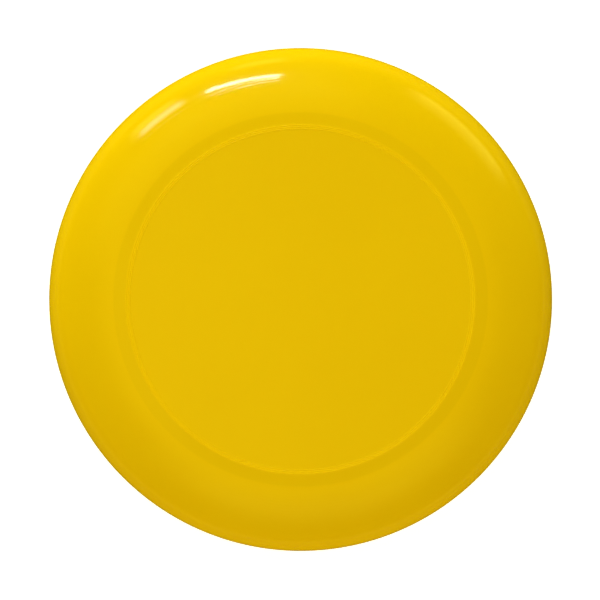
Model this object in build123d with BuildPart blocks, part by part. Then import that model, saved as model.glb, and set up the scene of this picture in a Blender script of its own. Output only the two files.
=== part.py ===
from build123d import *
import os
from math import acos, asin, atan2, cos, degrees, radians, sin, tan

# Flying disc for field games, 175 gram class, moulded in one piece in polyethylene.
# Millimetres, +Z up. The origin is on the disc's axis, in the plane that its rim stands on.

# Overall size
disc_radius = 273.0 / 2
disc_height = 32.0
polyethylene_density = 0.93e-3  # grams per cubic millimetre

# Flight plate, the flat middle of the top, and the ring of fine raised lines round it
plate_radius = 90.3
plate_thickness = 1.8
ring_line_count = 3
ring_line_width = 0.95
ring_line_height = 0.13

# Shoulder: a shallow cone, then an arc that bends down towards the rim
cone_outer_radius = 99.2
cone_slope = 4.5
shoulder_radius = 70.0
shell_thickness = 1.8

# Fine grooves round the shoulder
groove_count = 13
first_groove_radius = 100.0
groove_pitch = 1.6
groove_width = 0.45
groove_depth = 0.01

# Rim: its widest line is the nose, and it stands on a narrow flat foot
nose_height = 6.5
under_nose_radius = 9.0
rim_bore_radius = 130.0
rim_bore_top_radius = 129.6
foot_outer_fillet = 1.2
foot_inner_fillet = 0.8
ceiling_fillet = 9.0

# Moulding gate under the middle of the plate
gate_recess_radius = 8.0
gate_recess_depth = 0.4
gate_radius = 1.6
gate_stub_length = 0.9
gate_taper = 12.0

# Heights down the outside, and the centre of the shoulder's arc
plate_top = disc_height - ring_line_height
plate_underside = plate_top - plate_thickness
ring_outer_radius = plate_radius + ring_line_count * ring_line_width
cone_end = plate_top - (cone_outer_radius - ring_outer_radius) * tan(radians(cone_slope))
shoulder_centre_x = cone_outer_radius - shoulder_radius * sin(radians(cone_slope))
shoulder_centre_z = cone_end - shoulder_radius * cos(radians(cone_slope))

# The rim's arc starts tangent to the shoulder's and is upright at the nose, which fixes its radius.
reach = disc_radius - shoulder_centre_x
rise = nose_height - shoulder_centre_z
rim_radius = (shoulder_radius**2 - reach**2 - rise**2) / (2 * (shoulder_radius - reach))
join_slope = degrees(atan2(reach - rim_radius, rise))
under_nose_angle = degrees(asin(nose_height / under_nose_radius))

# The ceiling follows the shoulder from the rim's bore up to where the shoulder's arc is level.
ceiling_radius = shoulder_radius - shell_thickness
ceiling_start = degrees(acos((rim_bore_top_radius - shoulder_centre_x) / ceiling_radius))

# Each groove is cut by a round tool whose centre rides above the shoulder.
tool_radius = (groove_width**2 / 4 + groove_depth**2) / (2 * groove_depth)
tool_path_radius = shoulder_radius + tool_radius - groove_depth

with BuildPart() as disc:
    with BuildSketch(Plane.XZ) as profile:
        with BuildLine():
            plate_line = Line((0, plate_top), (plate_radius, plate_top))
            for line in range(ring_line_count):
                line_inner = plate_radius + line * ring_line_width
                line_top = (line_inner + ring_line_width / 2, disc_height)
                ThreePointArc((line_inner, plate_top), line_top, (line_inner + ring_line_width, plate_top))
            cone = Line((ring_outer_radius, plate_top), (cone_outer_radius, cone_end))
            shoulder = JernArc(cone @ 1, cone % 1, shoulder_radius, cone_slope - join_slope)
            rim = JernArc(shoulder @ 1, shoulder % 1, rim_radius, join_slope - 90)
            under_nose = JernArc(rim @ 1, rim % 1, under_nose_radius, -under_nose_angle)
            foot = Line(under_nose @ 1, (rim_bore_radius, 0))
            ceiling = CenterArc(
                (shoulder_centre_x, shoulder_centre_z), ceiling_radius, ceiling_start, 90 - ceiling_start
            )
            rim_bore = Line(foot @ 1, ceiling @ 0)
            Polyline(ceiling @ 1, (plate_radius, plate_underside), (0, plate_underside), plate_line @ 0)
        make_face()
        fillet(profile.vertices().sort_by_distance(rim_bore @ 0)[0], foot_inner_fillet)
        fillet(profile.vertices().sort_by_distance(under_nose @ 1)[0], foot_outer_fillet)
        fillet(profile.vertices().sort_by_distance(rim_bore @ 1)[0], ceiling_fillet)
    revolve(axis=Axis.Z)

    with BuildSketch(Plane.XZ):
        for groove in range(groove_count):
            groove_radius = first_groove_radius + groove * groove_pitch
            slope = asin((groove_radius - shoulder_centre_x) / shoulder_radius)
            tool_x = shoulder_centre_x + tool_path_radius * sin(slope)
            tool_z = shoulder_centre_z + tool_path_radius * cos(slope)
            with Locations((tool_x, tool_z)):
                Circle(tool_radius)
    revolve(axis=Axis.Z, mode=Mode.SUBTRACT)

    with BuildSketch(Plane.XY.offset(plate_underside)):
        Circle(gate_recess_radius)
    extrude(amount=gate_recess_depth, mode=Mode.SUBTRACT)

    with BuildSketch(Plane.XY.offset(plate_underside + gate_recess_depth)):
        Circle(gate_radius)
    extrude(amount=-gate_stub_length, taper=gate_taper)

disc.part.label = "disc"

os.makedirs("parts", exist_ok=True)
export_step(disc.part, "parts/disc.step")

print(f"rim arc radius {rim_radius:.2f} mm, joins the shoulder at {join_slope:.1f} degrees")
print(f"volume {disc.part.volume / 1000:.1f} cm3, mass {disc.part.volume * polyethylene_density:.1f} g")
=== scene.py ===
"""A yellow flying disc, moulded in one piece, in a white studio and seen from straight above.

Metres throughout. The disc's section is drawn from the same driving dimensions as the CAD model, then turned
about +Z into one fine mesh, with the fine grooves and the beaded raised lines as real geometry.
"""
from math import asin, atan, atan2, cos, degrees, floor, pi, radians, sin, sqrt, tan

import bmesh
import bpy
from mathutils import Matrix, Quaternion, Vector


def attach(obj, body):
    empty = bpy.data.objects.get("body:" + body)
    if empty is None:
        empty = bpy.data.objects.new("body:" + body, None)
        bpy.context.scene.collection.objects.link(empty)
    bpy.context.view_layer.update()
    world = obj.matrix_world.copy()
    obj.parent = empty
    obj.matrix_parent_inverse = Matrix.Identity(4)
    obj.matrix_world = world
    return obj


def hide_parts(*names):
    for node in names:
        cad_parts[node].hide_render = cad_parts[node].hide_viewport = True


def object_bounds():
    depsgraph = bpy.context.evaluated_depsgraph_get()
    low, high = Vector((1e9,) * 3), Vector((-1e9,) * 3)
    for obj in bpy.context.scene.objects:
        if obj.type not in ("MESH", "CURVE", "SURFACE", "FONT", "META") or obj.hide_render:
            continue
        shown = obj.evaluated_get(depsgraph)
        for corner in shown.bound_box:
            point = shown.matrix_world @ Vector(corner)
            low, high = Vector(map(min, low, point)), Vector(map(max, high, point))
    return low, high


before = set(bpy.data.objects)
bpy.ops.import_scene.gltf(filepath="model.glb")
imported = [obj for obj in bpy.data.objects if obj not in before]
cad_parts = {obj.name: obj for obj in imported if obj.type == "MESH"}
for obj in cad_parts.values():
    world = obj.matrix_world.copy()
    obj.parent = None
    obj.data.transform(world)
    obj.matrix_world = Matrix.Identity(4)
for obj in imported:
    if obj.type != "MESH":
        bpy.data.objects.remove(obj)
cad_low, cad_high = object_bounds()

# ------------------------------------------------------------------ sizes of the disc
MM = 0.001
disc_radius = (cad_high.x - cad_low.x) / 2
disc_height = cad_high.z

# Plate, the ring of fine raised lines, and cone
plate_radius = 90.3 * MM
ring_line_count = 3
ring_line_width = 0.95 * MM
ring_line_height = 0.13 * MM
bead_dip = 0.65  # how far a raised line sinks between two beads, as a share of its height
cone_outer = 99.2 * MM
cone_slope = 4.5

# Shoulder and its fine grooves, each in the middle of its pitch, from the cone outwards
shoulder_radius = 70.0 * MM
groove_count = 13
groove_pitch = 1.6 * MM
groove_width = 0.45 * MM
groove_depth = 0.01 * MM

# Rim
nose_height = 6.5 * MM
under_nose_radius = 9.0 * MM
rim_bore = 130.0 * MM
rim_bore_top = 129.6 * MM
foot_outer_fillet = 1.2 * MM
foot_inner_fillet = 0.8 * MM
ceiling_fillet = 9.0 * MM

# Underside
plate_thickness = 1.8 * MM
shell_thickness = 1.8 * MM
gate_recess_radius = 8.0 * MM
gate_recess_depth = 0.4 * MM
gate_radius = 1.6 * MM
gate_tip_radius = 1.4 * MM
gate_stub_length = 0.9 * MM

# Columns of the mesh round the disc: the raised lines have more than the rest
columns = 360
bead_count = 120
columns_per_bead = 6

# Rows of the mesh: places on the plate, across a groove, and under the plate
plate_rows = (2, 10, 25, 45, 65, 80, 88, 90)
rows_per_line = 8
cone_rows = 5
groove_rows = (-1, -0.65, -0.35, 0, 0.35, 0.65, 1)
underside_rows = (88, 70, 45, 25, 12)
sharp_edge = 40  # degrees between two faces, from which their edge is drawn sharp

# Places worked out from those sizes, as in the CAD model
plate_top = disc_height - ring_line_height
ring_outer = plate_radius + ring_line_count * ring_line_width
plate_underside = plate_top - plate_thickness
cone_end = plate_top - (cone_outer - ring_outer) * tan(radians(cone_slope))
shoulder_r = cone_outer - shoulder_radius * sin(radians(cone_slope))
shoulder_z = cone_end - shoulder_radius * cos(radians(cone_slope))
reach = disc_radius - shoulder_r
rise = nose_height - shoulder_z
rim_radius = (shoulder_radius**2 - reach**2 - rise**2) / (2 * (shoulder_radius - reach))
rim_r = disc_radius - rim_radius
join_slope = degrees(atan2(reach - rim_radius, rise))


# ------------------------------------------------------------------ section
def arc(centre_r, centre_z, radius, start, end, steps):
    """Points along an arc of the section, after its first one. Angles are degrees from +Z towards +R."""
    angles = [radians(start + (end - start) * i / steps) for i in range(1, steps + 1)]
    return [(centre_r + radius * sin(a), centre_z + radius * cos(a)) for a in angles]


def plate_points():
    return [(r * MM, plate_top) for r in plate_rows]


def cone_points():
    run = cone_outer - ring_outer
    drop = plate_top - cone_end
    shares = [i / cone_rows for i in range(1, cone_rows + 1)]
    return [(ring_outer + run * share, plate_top - drop * share) for share in shares]


def grooved_points():
    points = []
    for groove in range(groove_count):
        middle = cone_outer + (groove + 0.5) * groove_pitch
        for across in groove_rows:
            slope = asin((middle + across * groove_width / 2 - shoulder_r) / shoulder_radius)
            radius = shoulder_radius - groove_depth * (1 + cos(pi * across)) / 2
            points.append((shoulder_r + radius * sin(slope), shoulder_z + radius * cos(slope)))
    return points


def rim_points():
    """From the last groove over the nose, round the foot and up the bore to the ceiling."""
    grooves_end = degrees(asin((cone_outer + groove_pitch * groove_count - shoulder_r) / shoulder_radius))
    points = arc(shoulder_r, shoulder_z, shoulder_radius, grooves_end, join_slope, steps=6)
    points += arc(rim_r, nose_height, rim_radius, join_slope, 90, steps=26)

    # The outer fillet of the foot lies inside the arc under the nose and on the floor.
    nose_r = disc_radius - under_nose_radius
    fillet_reach = under_nose_radius - foot_outer_fillet
    fillet_r = nose_r + sqrt(fillet_reach**2 - (nose_height - foot_outer_fillet) ** 2)
    fillet_start = degrees(atan2(fillet_r - nose_r, foot_outer_fillet - nose_height))
    points += arc(nose_r, nose_height, under_nose_radius, 90, fillet_start, steps=10)
    points += arc(fillet_r, foot_outer_fillet, foot_outer_fillet, fillet_start, 180, steps=5)

    # The bore leans in by its draft on the way up.
    ceiling_radius = shoulder_radius - shell_thickness
    bore_top = shoulder_z + sqrt(ceiling_radius**2 - (rim_bore_top - shoulder_r) ** 2)
    draft = atan((rim_bore - rim_bore_top) / bore_top)
    inner_r = rim_bore + foot_inner_fillet * (1 - sin(draft)) / cos(draft)
    points.append((inner_r, 0.0))
    points += arc(inner_r, foot_inner_fillet, foot_inner_fillet, 180, 270 - degrees(draft), steps=6)

    # The ceiling's fillet touches the bore and lies inside the ceiling's arc. Each turn brings its centre
    # nearer to the place where both hold.
    fillet_z = bore_top - ceiling_fillet
    for _ in range(8):
        fillet_r = rim_bore - (ceiling_fillet + fillet_z * sin(draft)) / cos(draft)
        fillet_z = shoulder_z + sqrt((ceiling_radius - ceiling_fillet) ** 2 - (fillet_r - shoulder_r) ** 2)
    fillet_end = degrees(atan2(fillet_r - shoulder_r, fillet_z - shoulder_z))
    points.append((fillet_r + ceiling_fillet * cos(draft), fillet_z + ceiling_fillet * sin(draft)))
    points += arc(fillet_r, fillet_z, ceiling_fillet, 90 - degrees(draft), fillet_end, steps=12)
    points += arc(shoulder_r, shoulder_z, ceiling_radius, fillet_end, 0, steps=14)
    return points


def underside_points():
    """From the ceiling in to the gate at the middle of the underside."""
    recess_top = plate_underside + gate_recess_depth
    stub_end = recess_top - gate_stub_length
    flat = [(r * MM, plate_underside) for r in underside_rows]
    return [
        (plate_radius, plate_underside),
        *flat,
        (gate_recess_radius, plate_underside),
        (gate_recess_radius, recess_top),
        (gate_radius, recess_top),
        (gate_tip_radius, stub_end),
    ]


def line_height(across, along):
    """Height of a raised line above the plate, at shares across its width and along one of its beads."""
    bead = 1 - bead_dip * (1 + cos(2 * pi * along)) / 2
    return ring_line_height * bead * (1 - cos(2 * pi * across)) / 2


# ------------------------------------------------------------------ mesh
def build_disc():
    vertices, faces = [], []

    def ring(count, place):
        """A row of vertices round the disc, where place(i) gives radius and height."""
        first = len(vertices)
        for i in range(count):
            r, z = place(i)
            turn = 2 * pi * i / count
            vertices.append((r * cos(turn), r * sin(turn), z))
        return list(range(first, first + count))

    def bridge(a, b):
        """Faces between two rows, where one may have a whole number of times the other's columns."""
        n = min(len(a), len(b))
        step_a, step_b = len(a) // n, len(b) // n
        for i in range(n):
            side_a = [a[(i * step_a + k) % len(a)] for k in range(step_a + 1)]
            side_b = [b[(i * step_b + k) % len(b)] for k in range(step_b + 1)]
            fine, coarse = (side_b, side_a) if step_b > step_a else (side_a, side_b)
            middle = len(fine) // 2
            if len(fine) == 2:
                faces.append((side_a[0], side_b[0], side_b[1], side_a[1]))
                continue
            strips = [(coarse[0], fine[k], fine[k + 1]) for k in range(middle)]
            strips.append((coarse[0], fine[middle], coarse[1]))
            strips += [(coarse[1], fine[k], fine[k + 1]) for k in range(middle, len(fine) - 1)]
            faces.extend(strips if fine is side_b else [tuple(reversed(s)) for s in strips])

    rows = [ring(columns, lambda i, p=p: p) for p in plate_points()]

    for row in range(ring_line_count * rows_per_line + 1):
        across = row / rows_per_line

        def place(i, across=across):
            along = (i / columns_per_bead + floor(across) / ring_line_count) % 1
            return plate_radius + across * ring_line_width, plate_top + line_height(across % 1, along)

        rows.append(ring(bead_count * columns_per_bead, place))

    rest = cone_points() + grooved_points() + rim_points() + underside_points()
    rows += [ring(columns, lambda i, p=p: p) for p in rest]
    for a, b in zip(rows, rows[1:]):
        bridge(a, b)

    for row, z, top in ((rows[0], plate_top, True), (rows[-1], rest[-1][1], False)):
        vertices.append((0, 0, z))
        pole = len(vertices) - 1
        for i, a in enumerate(row):
            b = row[(i + 1) % len(row)]
            faces.append((pole, a, b) if top else (pole, b, a))

    mesh = bpy.data.meshes.new("disc_moulding")
    mesh.from_pydata(vertices, [], faces)
    mesh.validate()
    mesh.shade_smooth()
    mesh.set_sharp_from_angle(angle=radians(sharp_edge))
    disc = bpy.data.objects.new("disc_moulding", mesh)
    bpy.context.scene.collection.objects.link(disc)
    return disc


# ------------------------------------------------------------------ materials
class Nodes:
    """A material's node tree, with short calls for the nodes used here."""

    def __init__(self, name):
        self.material = bpy.data.materials.new(name)
        self.material.use_nodes = True
        self.tree = self.material.node_tree
        self.shader = self.tree.nodes["Principled BSDF"]

    def add(self, kind, inputs=(), **settings):
        made = self.tree.nodes.new(kind)
        for name, value in settings.items():
            setattr(made, name, value)
        for name, value in dict(inputs).items():
            self.put(made.inputs[name], value)
        return made

    def put(self, socket, value):
        if isinstance(value, bpy.types.NodeSocket):
            self.tree.links.new(value, socket)
        else:
            socket.default_value = value

    def math(self, operation, *values):
        return self.add("ShaderNodeMath", enumerate(values), operation=operation).outputs[0]

    def vector(self, operation, *values):
        made = self.add("ShaderNodeVectorMath", enumerate(values), operation=operation)
        return made.outputs["Value" if operation in ("LENGTH", "DOT_PRODUCT") else "Vector"]

    def noise(self, vector, scale, detail):
        inputs = {"Vector": vector, "Scale": scale, "Detail": detail, "Roughness": 0.5}
        return self.add("ShaderNodeTexNoise", inputs).outputs["Fac"]

    def remap(self, value, low, high, to_low, to_high, kind="LINEAR"):
        inputs = {"Value": value, 1: low, 2: high, 3: to_low, 4: to_high}
        return self.add("ShaderNodeMapRange", inputs, clamp=True, interpolation_type=kind).outputs[0]

    def by_radius(self, radius, stops):
        """A value that follows the radius, from a list of (radius, value), straight in between."""
        ramp = self.add("ShaderNodeValToRGB", {"Fac": self.math("DIVIDE", radius, disc_radius)})
        marks = ramp.color_ramp.elements
        while len(marks) < len(stops):
            marks.new(0.5)
        for mark, (place, value) in zip(marks, stops):
            mark.position = place / disc_radius
            mark.color = (value, value, value, 1)
        return ramp.outputs["Color"]

    def mix(self, factor, a, b):
        made = self.add("ShaderNodeMix", data_type="RGBA")
        for name, value in (("Factor", factor), ("A", a), ("B", b)):
            sockets = [s for s in made.inputs if s.name == name and s.enabled]
            self.put(sockets[0], value)
        return [s for s in made.outputs if s.enabled][0]

    def bump(self, height, depth, normal=None):
        inputs = {"Strength": 1.0, "Distance": depth, "Height": height}
        if normal:
            inputs["Normal"] = normal
        return self.add("ShaderNodeBump", inputs).outputs[0]


# Colours in linear light, and a painted sheen and shade by radius, not a real change of colour: the raised
# lines are painted palest for their sheen, the smooth band outside them deepest for its shade, and the start
# of the grooved shoulder a little paler than the rest of it for its sheen.
yellow = (0.815, 0.492, 0.0013, 1)
deep_yellow = (0.795, 0.475, 0.0011, 1)
sheen_and_shade_stops = [
    (plate_radius, 0.93),
    (plate_radius + 0.8 * MM, 0.985),
    (ring_outer - 0.4 * MM, 0.985),
    (ring_outer + 0.4 * MM, 0.905),
    (cone_outer, 0.905),
    (cone_outer + 0.8 * MM, 0.945),
    (cone_outer + 10 * MM, 0.93),
]

flow_spread = 9  # how many flow lines there are round the gate, as a scale

# Roughness of the gloss, and what wear, the underside and the grain add to it
plate_roughness = 0.14
rim_roughness = 0.08
foot_dullness = 0.16
worn_height = 2.5 * MM
underside_dullness = 0.14
grain_dullness = 0.015

# Relief, and how the plastic takes light
wave_depth = 0.006 * MM
grain_depth = 0.0016 * MM
polyethylene_ior = 1.51
light_depth = 1.2 * MM


def disc_plastic():
    """Glossy polyethylene, coloured through. The plate is a little duller than the rim, and the foot is
    dull. The marks that moulding leaves only show close to."""
    n = Nodes("yellow_polyethylene")
    coordinates = n.add("ShaderNodeTexCoord")
    place = coordinates.outputs["Object"]
    height = n.add("ShaderNodeSeparateXYZ", {0: place}).outputs["Z"]
    flat = n.vector("MULTIPLY", place, (1, 1, 0))
    radius = n.vector("LENGTH", flat)
    facing = n.add("ShaderNodeSeparateXYZ", {0: coordinates.outputs["Normal"]}).outputs["Z"]
    underside = n.remap(facing, 0.1, -0.4, 0.0, 1.0)

    # Colour: broad clouds, and under the plate the plastic's flow lines out from the gate
    cloud = n.remap(n.noise(place, scale=16.0, detail=3.0), 0.35, 0.65, 0.0, 0.6)
    spoke = n.vector("MULTIPLY", n.vector("NORMALIZE", flat), (flow_spread, flow_spread, flow_spread))
    outward = n.vector("ADD", spoke, place)
    flow = n.remap(n.noise(outward, scale=1.6, detail=3.0), 0.4, 0.65, 0.0, 1.0)
    shade = n.math("ADD", cloud, n.math("MULTIPLY", flow, underside))
    # Painted sheen and shade by radius: paler on the raised lines and the start of the grooves, deeper on
    # the band beside them
    sheen_and_shade = n.by_radius(radius, sheen_and_shade_stops)
    coloured = n.mix(shade, yellow, deep_yellow)
    n.put(n.shader.inputs["Base Color"], n.vector("MULTIPLY", coloured, sheen_and_shade))

    # Gloss
    grain = n.noise(place, scale=900.0, detail=2.0)
    gloss = n.remap(radius, plate_radius, cone_outer, plate_roughness, rim_roughness)
    handled = n.remap(height, 0.0, worn_height, foot_dullness, 0.0)
    dull_below = n.math("MULTIPLY", underside, underside_dullness)
    dulled = n.math("ADD", gloss, n.math("MAXIMUM", handled, dull_below))
    uneven = n.remap(grain, 0.3, 0.7, -grain_dullness, grain_dullness)
    n.put(n.shader.inputs["Roughness"], n.math("ADD", dulled, uneven))

    # Relief: a gentle waviness all over, and a fine grain on top of it
    waves = n.bump(n.noise(place, scale=160.0, detail=1.0), wave_depth)
    n.put(n.shader.inputs["Normal"], n.bump(grain, grain_depth, waves))

    n.shader.inputs["IOR"].default_value = polyethylene_ior
    n.shader.inputs["Subsurface Weight"].default_value = 0.08
    n.shader.inputs["Subsurface Radius"].default_value = (1.0, 0.6, 0.1)
    n.shader.inputs["Subsurface Scale"].default_value = light_depth
    return n.material


def floor_paper():
    n = Nodes("studio_paper")
    n.shader.inputs["Base Color"].default_value = (0.9, 0.9, 0.9, 1)
    n.shader.inputs["Roughness"].default_value = 0.9
    n.shader.inputs["Specular IOR Level"].default_value = 0.1
    # The paper glows a little, and more far from the disc, so that it stays white out to the horizon. The
    # glow is slightly blue, because the lamps and the sky are yellow.
    away = n.vector("LENGTH", n.add("ShaderNodeTexCoord").outputs["Object"])
    n.shader.inputs["Emission Color"].default_value = (1, 1, 1.15, 1)
    n.put(n.shader.inputs["Emission Strength"], n.remap(away, 0.6, 2.5, 0.76, 1.0))
    return n.material


def glow(name, colour, strength):
    """A surface that only gives light. strength is a number, or a function that builds it from the nodes."""
    n = Nodes(name)
    n.tree.nodes.remove(n.shader)
    light = n.add("ShaderNodeEmission", {"Color": (*colour, 1)})
    n.put(light.inputs["Strength"], strength(n) if callable(strength) else strength)
    n.put(n.tree.nodes["Material Output"].inputs["Surface"], light.outputs[0])
    n.material.cycles.emission_sampling = "NONE"
    return n.material


# ------------------------------------------------------------------ the object
disc = build_disc()
disc.data.materials.append(disc_plastic())
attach(disc, "root")
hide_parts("disc")

# ------------------------------------------------------------------ studio
studio_radius = 8.0


def studio_surface(name, material, build):
    mesh = bpy.data.meshes.new(name)
    made = bmesh.new()
    build(made)
    made.to_mesh(mesh)
    made.free()
    mesh.shade_smooth()
    mesh.materials.append(material)
    surface = bpy.data.objects.new(name, mesh)
    bpy.context.scene.collection.objects.link(surface)
    return surface


def seen_by(surface, ray):
    """Only the named kind of ray sees the surface."""
    for kind in ("camera", "diffuse", "glossy", "transmission", "volume_scatter", "shadow"):
        setattr(surface, "visible_" + kind, kind == ray)


def dome(name, radius, colour, strength, ray):
    """A dome round the studio that only the named kind of ray sees."""
    def build(made):
        bmesh.ops.create_uvsphere(made, u_segments=48, v_segments=24, radius=radius)

    seen_by(studio_surface(name, glow(name + "_light", colour, strength), build), ray)


# The sky that the gloss shows. Polar angles are degrees from straight up, and azimuths from +X.
ceiling_span = (-0.06, 0.09)  # of the direction's X, from where the ceiling is bright to where it is dim
ceiling_strengths = (0.95, 0.25)
ceiling_fade = (10, 40)  # polar angles over which the ceiling fades out
gap_start = (7.5, 9.5)  # polar angles over which the gap beside a box begins
box_azimuths = (118, 278)
box_sector = (60, 30)  # degrees off a box's azimuth, from where it starts to where it is full
box_inner_edge = (14.3, 15.0)  # polar angles
box_outer_edge = (34, 54)
box_strength = 1.05
base_strength = 0.06


def soft_sky(n):
    """Brightness of the sky that the gloss shows. A soft ceiling overhead is brighter towards -X. Two wide
    soft boxes stand lower, with a dark gap above each. Below the horizon the floor glows."""
    direction = n.vector("NORMALIZE", n.add("ShaderNodeTexCoord").outputs["Object"])
    axes = n.add("ShaderNodeSeparateXYZ", {0: direction})
    up = axes.outputs["Z"]
    polar = n.math("DEGREES", n.math("ARCCOSINE", up))
    level = n.vector("NORMALIZE", n.vector("MULTIPLY", direction, (1, 1, 0)))
    sectors = 0.0
    for azimuth in box_azimuths:
        middle = (cos(radians(azimuth)), sin(radians(azimuth)), 0)
        off_middle = n.math("DEGREES", n.math("ARCCOSINE", n.vector("DOT_PRODUCT", level, middle)))
        sectors = n.math("ADD", sectors, n.remap(off_middle, *box_sector, 0.0, 1.0, "SMOOTHSTEP"))

    ceiling = n.remap(axes.outputs["X"], *ceiling_span, *ceiling_strengths)
    ceiling = n.math("MULTIPLY", ceiling, n.remap(polar, *ceiling_fade, 1.0, 0.0, "SMOOTHSTEP"))
    gap = n.math("MULTIPLY", sectors, n.remap(polar, *gap_start, 0.0, 1.0))
    ceiling = n.math("MULTIPLY", ceiling, n.math("SUBTRACT", 1.0, gap))

    box = n.remap(polar, *box_inner_edge, 0.0, box_strength)
    box = n.math("MULTIPLY", box, n.remap(polar, *box_outer_edge, 1.0, 0.0, "SMOOTHSTEP"))
    box = n.math("MULTIPLY", box, sectors)

    wide_glow = n.remap(up, -0.62, -0.1, 0.0, 0.2)
    near_glow = n.remap(up, -0.15, -0.04, 0.0, 0.25)
    below_horizon = n.remap(up, 0.06, 0.0, 0.0, 1.0)
    floor_glow = n.math("MULTIPLY", n.math("ADD", wide_glow, near_glow), below_horizon)
    return n.math("ADD", n.math("ADD", ceiling, box), n.math("ADD", floor_glow, base_strength))


def floor_circle(made):
    bmesh.ops.create_circle(made, cap_ends=True, segments=96, radius=studio_radius)


paper = studio_surface("floor", floor_paper(), floor_circle)
paper.visible_glossy = False

# Body light all round, and the sky for the gloss
sky_tint = (1.0, 1.0, 0.35)
sky_strength = 0.27
sheen_tint = (1.0, 0.82, 0.03)
dome("sky_fill", studio_radius * 1.1, sky_tint, sky_strength, "diffuse")
dome("sky_sheen", studio_radius * 1.2, sheen_tint, soft_sky, "glossy")

world = bpy.data.worlds.new("studio")
world.use_nodes = True
world.node_tree.nodes["Background"].inputs["Color"].default_value = (1.0, 1.0, 1.0, 1)
world.cycles_visibility.diffuse = False
world.cycles_visibility.glossy = False
bpy.context.scene.world = world


aim_share = 0.9  # of the disc's radius, where the lamps are aimed


def face_rim(thing, azimuth, polar, distance, roll=0.0):
    """Place a lamp so that it faces the rim. Azimuth is degrees from +X and polar is degrees from straight
    up, both from the rim at that azimuth. Roll turns the lamp in its own plane."""
    out = Vector((cos(radians(azimuth)), sin(radians(azimuth)), 0))
    target = out * aim_share * disc_radius + Vector((0, 0, disc_height))
    direction = out * sin(radians(polar)) + Vector((0, 0, cos(radians(polar))))
    thing.location = target + direction * distance
    thing.rotation_mode = "QUATERNION"
    thing.rotation_quaternion = direction.to_track_quat("Z", "Y") @ Quaternion((0, 0, 1), radians(roll))


def panel(name, azimuth, polar, distance, size, radiance, colour, roll=0.0, gloss=False):
    """A flat lamp, width by height. Radiance is its brightness, where lit white paper is 1. It lights either
    the gloss or the body of the plastic."""
    lamp = bpy.data.lights.new(name, "AREA")
    lamp.shape = "RECTANGLE"
    lamp.size, lamp.size_y = size
    lamp.energy = radiance * size[0] * size[1] * pi
    lamp.color = colour
    made = bpy.data.objects.new(name, lamp)
    bpy.context.scene.collection.objects.link(made)
    face_rim(made, azimuth, polar, distance, roll)
    made.visible_camera = False
    made.visible_diffuse = not gloss
    made.visible_glossy = gloss


def card(name, azimuth, polar, distance, size, radiance, colour, flat=0.5):
    """A glowing card, width by height, that only the gloss shows. It fades from its middle line to its long
    edges, and from the flat share of its width to its ends."""
    def fade(n):
        scale = (2 / size[0], 2 / size[1], 0)
        place = n.vector("MULTIPLY", n.add("ShaderNodeTexCoord").outputs["Object"], scale)
        axes = n.add("ShaderNodeSeparateXYZ", {0: n.vector("ABSOLUTE", place)})
        along = n.remap(axes.outputs["X"], 1.0, flat, 0.0, 1.0, "SMOOTHSTEP")
        across = n.remap(axes.outputs["Y"], 1.0, 0.0, 0.0, 1.0, "SMOOTHSTEP")
        return n.math("MULTIPLY", n.math("MULTIPLY", along, across), radiance)

    def build(made):
        corners = [(x * size[0] / 2, y * size[1] / 2, 0) for x, y in ((-1, -1), (1, -1), (1, 1), (-1, 1))]
        made.faces.new([made.verts.new(corner) for corner in corners])

    made = studio_surface(name, glow(name + "_light", colour, fade), build)
    seen_by(made, "glossy")
    face_rim(made, azimuth, polar, distance)


# Lamps for the body: the key is three soft boxes, one above another, and the fill stands opposite
key_tint = (0.89, 1.0, 0.3)
fill_tint = (1.09, 1.0, 0.2)
softbox = (1.4, 1.0)
softbox_distance = 2.2
panel("key_high", 105, 40, softbox_distance, softbox, 5.1, key_tint)
panel("key_middle", 98, 60, softbox_distance, softbox, 3.2, key_tint)
panel("key_low", 105, 78, softbox_distance, softbox, 6.4, key_tint)
panel("fill", 273, 40, softbox_distance, softbox, 5.2, fill_tint)

# Lamps for the gloss: the two white streaks, and the soft glows on the rim
strip_tint = (1.0, 1.0, 0.72)
glow_tint = (1.0, 1.0, 0.12)
strip_distance = 1.5
panel("strip_key", 105, 51.3, strip_distance, (0.44, 0.085), 28, strip_tint, roll=-14, gloss=True)
card("side_core", 127.5, 55.3, strip_distance, (0.36, 0.26), 5.8, strip_tint, flat=0.7)
card("side_tail", 129, 62, strip_distance, (0.44, 0.80), 3.0, glow_tint)
card("glow_right", 46.5, 66, strip_distance, (1.0, 0.9), 2.7, glow_tint)
card("glow_low", 100, 81, strip_distance, (0.46, 0.8), 1.9, glow_tint)

# ------------------------------------------------------------------ camera, straight above
camera_height = 1.2
frame_share = 0.8386  # how much of the picture's width the disc fills
off_axis = (-0.33 * MM, -0.28 * MM)
edge_slope = atan(disc_radius / camera_height)
edge_r = rim_r + rim_radius * cos(edge_slope)
edge_z = nose_height + rim_radius * sin(edge_slope)
camera_data = bpy.data.cameras.new("camera")
camera_data.sensor_width = 36.0
camera_data.lens = frame_share * camera_data.sensor_width / 2 * (camera_height - edge_z) / edge_r
camera = bpy.data.objects.new("camera", camera_data)
camera.location = (*off_axis, camera_height)
bpy.context.scene.collection.objects.link(camera)
bpy.context.scene.camera = camera
bpy.context.scene.view_settings.view_transform = "Standard"
